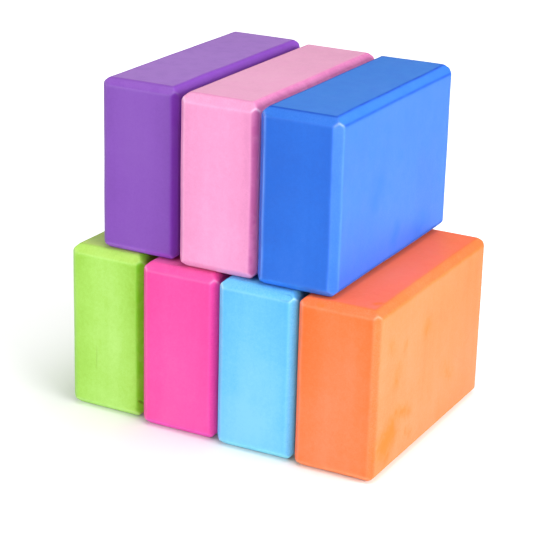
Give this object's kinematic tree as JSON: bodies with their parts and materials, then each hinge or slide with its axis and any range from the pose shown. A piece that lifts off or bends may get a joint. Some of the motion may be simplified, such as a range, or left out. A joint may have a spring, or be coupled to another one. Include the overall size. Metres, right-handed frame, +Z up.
{
  "type": "yoga block set",
  "caption": "Staggered stack of bevel-edged foam yoga blocks in bright plain colours; each block lifts or slides out by hand to support a pose.",
  "frame": {"origin": "floor level, at the middle of the stack's bounding box in plan", "axes": "+X along the rows to the right seen from the front, -Y towards the front where the narrow faces show, +Z up"},
  "size_m": [0.3054, 0.245, 0.304],
  "materials": {
    "lime_green_foam": "matte",
    "magenta_foam": "matte",
    "sky_blue_foam": "matte",
    "orange_foam": "matte",
    "purple_foam": "matte",
    "pink_foam": "matte",
    "royal_blue_foam": "matte"
  },
  "bodies": {
    "sky_blue": {"sky_blue_block": "sky_blue_foam"},
    "lime_green": {"lime_green_block": "lime_green_foam"},
    "magenta": {"magenta_block": "magenta_foam"},
    "orange": {"orange_block": "orange_foam"},
    "purple": {"purple_block": "purple_foam"},
    "pink": {"pink_block": "pink_foam"},
    "royal_blue": {"royal_blue_block": "royal_blue_foam"}
  },
  "joints": [
    {"name": "lime_green_slide", "type": "slide", "parent": "sky_blue", "child": "lime_green", "axis": [-1, 0, 0], "range_m": [0, 0.09]},
    {"name": "magenta_draw", "type": "slide", "parent": "sky_blue", "child": "magenta", "axis": [0, -1, 0], "range_m": [0, 0.24]},
    {"name": "orange_slide", "type": "slide", "parent": "sky_blue", "child": "orange", "axis": [1, 0, 0], "range_m": [0, 0.09]},
    {"name": "purple_lift", "type": "slide", "parent": "sky_blue", "child": "purple", "axis": [0, 0, 1], "range_m": [0, 0.16]},
    {"name": "pink_lift", "type": "slide", "parent": "sky_blue", "child": "pink", "axis": [0, 0, 1], "range_m": [0, 0.16]},
    {"name": "royal_blue_lift", "type": "slide", "parent": "sky_blue", "child": "royal_blue", "axis": [0, 0, 1], "range_m": [0, 0.16]}
  ]
}
